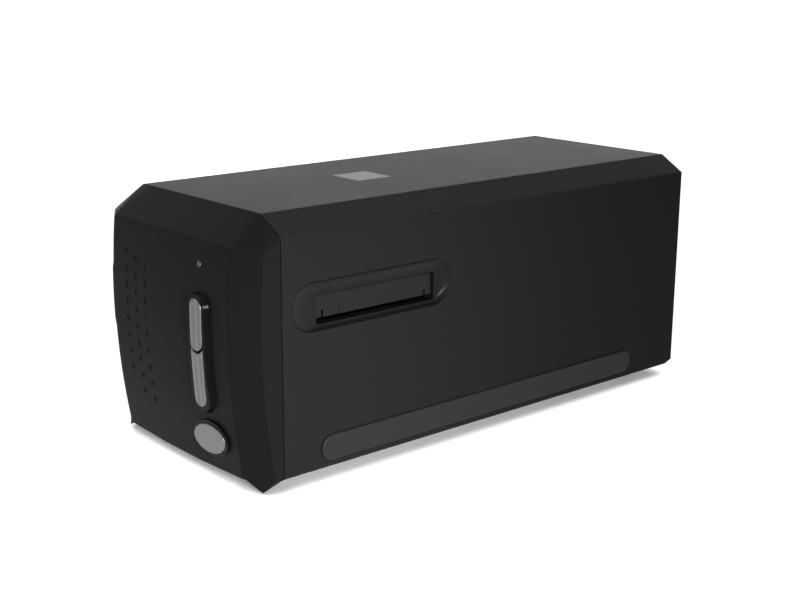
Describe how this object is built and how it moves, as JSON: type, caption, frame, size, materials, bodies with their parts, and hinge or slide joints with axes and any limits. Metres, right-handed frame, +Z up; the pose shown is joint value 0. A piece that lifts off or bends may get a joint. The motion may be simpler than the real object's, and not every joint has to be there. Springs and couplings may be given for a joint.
{
  "type": "film negative scanner",
  "caption": "Desktop film scanner: upright faceted box with a bowed front, long silver buttons, an oval power button and flapped film slots in the sides.",
  "frame": {"origin": "on the table, under the middle of the whole part", "axes": "+X to the right seen from the front, +Y to the rear, +Z up; the buttons face -Y"},
  "size_m": [0.122, 0.281, 0.119],
  "materials": {
    "housing_plastic": "fine spark texture",
    "bezel_plastic": "fine spark texture",
    "surround_plastic": "satin",
    "flap_plastic": "satin",
    "gloss_black": "polished",
    "silver_cap": "silver paint on moulded plastic",
    "light_lens": "clear moulded",
    "strip_rubber": "satin",
    "foot_rubber": "matt",
    "roller_rubber": "ground",
    "label_metal": "brushed",
    "steel": "plated",
    "chassis_metal": "sheet",
    "blackened_metal": "black anodised",
    "black_parts": "moulded",
    "white_gear": "natural acetal",
    "brass_gear": "cut",
    "circuit_board": "solder mask",
    "lamp_glass": "frosted",
    "lens_glass": "coated",
    "mirror_glass": "front-silvered",
    "opal": "opal"
  },
  "bodies": {
    "root": {"front_bezel": "bezel_plastic", "button_boss": "gloss_black", "power_ring": "gloss_black", "status_light": "light_lens", "button_board": "circuit_board", "tact_switches": "black_parts", "main_housing": "housing_plastic", "top_label": "label_metal", "right_side_strip": "strip_rubber", "left_side_strip": "strip_rubber", "base_tray": "housing_plastic", "rubber_feet": "foot_rubber", "rear_panel": "housing_plastic", "case_screws": "steel", "right_slot_surround": "surround_plastic", "left_slot_surround": "surround_plastic", "right_flap_pin": "steel", "left_flap_pin": "steel", "right_flap_spring": "steel", "left_flap_spring": "steel", "film_track": "black_parts", "film_gate": "blackened_metal", "track_cover": "black_parts", "gear_stud": "steel", "feed_motor": "steel", "gear_plate": "steel", "chassis_frame": "chassis_metal", "lamp_housing": "chassis_metal", "lamp_tube": "lamp_glass", "lamp_caps": "roller_rubber", "diffuser": "opal", "mirror_bracket": "black_parts", "folding_mirror": "mirror_glass", "guide_rods": "steel", "rod_brackets": "black_parts", "focus_motor": "steel", "main_board": "circuit_board", "usb_socket": "steel", "power_jack": "black_parts", "board_parts": "black_parts"},
    "upper_button": {"upper_button": "silver_cap"},
    "lower_button": {"lower_button": "silver_cap"},
    "power_button": {"power_button": "silver_cap"},
    "right_flap": {"right_flap": "flap_plastic"},
    "left_flap": {"left_flap": "flap_plastic"},
    "feed_rollers": {"feed_shaft": "steel", "feed_rollers": "roller_rubber", "feed_gear": "white_gear"},
    "reduction_gear": {"reduction_gear": "white_gear"},
    "motor_rotor": {"motor_pinion": "brass_gear"},
    "pinch_rollers": {"pinch_shaft": "steel", "pinch_rollers": "roller_rubber"},
    "focus_carriage": {"focus_carriage": "black_parts", "lens_barrel": "blackened_metal", "lens_glasses": "lens_glass", "sensor_board": "circuit_board", "line_sensor": "black_parts", "focus_rack": "white_gear"},
    "focus_pinion": {"focus_pinion": "brass_gear"}
  },
  "joints": [
    {"name": "upper_button_press", "type": "slide", "parent": "root", "child": "upper_button", "axis": [0, 1, 0], "range_m": [0, 0.001], "stiffness_N_per_m": 400},
    {"name": "lower_button_press", "type": "slide", "parent": "root", "child": "lower_button", "axis": [0, 1, 0], "range_m": [0, 0.001], "stiffness_N_per_m": 400},
    {"name": "power_button_press", "type": "slide", "parent": "root", "child": "power_button", "axis": [0, 1, 0], "range_m": [0, 0.001], "stiffness_N_per_m": 400},
    {"name": "right_flap_swing", "type": "hinge", "parent": "root", "child": "right_flap", "pos_m": [0.0542, -0.0666, 0.08185], "axis": [0, 1, 0], "range_deg": [0, 80], "stiffness_Nm_per_rad": 0.0008},
    {"name": "left_flap_swing", "type": "hinge", "parent": "root", "child": "left_flap", "pos_m": [-0.0542, -0.0666, 0.08185], "axis": [0, 1, 0], "range_deg": [0, 80], "stiffness_Nm_per_rad": 0.0008},
    {"name": "feed_spin", "type": "hinge", "parent": "root", "child": "feed_rollers", "pos_m": [0.02785, -0.0666, 0.066], "axis": [0, 1, 0], "continuous": true},
    {"name": "reduction_spin", "type": "hinge", "parent": "root", "child": "reduction_gear", "pos_m": [0.03091, -0.0256, 0.04867], "axis": [0, 1, 0], "continuous": true},
    {"name": "motor_spin", "type": "hinge", "parent": "root", "child": "motor_rotor", "pos_m": [0.04273, -0.0226, 0.03457], "axis": [0, 1, 0], "continuous": true},
    {"name": "pinch_spin", "type": "hinge", "parent": "root", "child": "pinch_rollers", "pos_m": [0.02785, -0.0666, 0.0838], "axis": [0, 1, 0], "continuous": true},
    {"name": "focus_slide", "type": "slide", "parent": "root", "child": "focus_carriage", "axis": [0, 1, 0], "range_m": [-0.003, 0.003]},
    {"name": "focus_pinion_spin", "type": "hinge", "parent": "root", "child": "focus_pinion", "pos_m": [-0.03398, 0.0606, 0.039], "axis": [0, 0, 1], "range_deg": [-27, 27]}
  ],
  "couplings": [
    {"joint": "reduction_spin", "follows": "feed_spin", "ratio": -2.6667},
    {"joint": "motor_spin", "follows": "feed_spin", "ratio": 9.6},
    {"joint": "focus_pinion_spin", "follows": "focus_slide", "rad_per_m": 156.25}
  ]
}
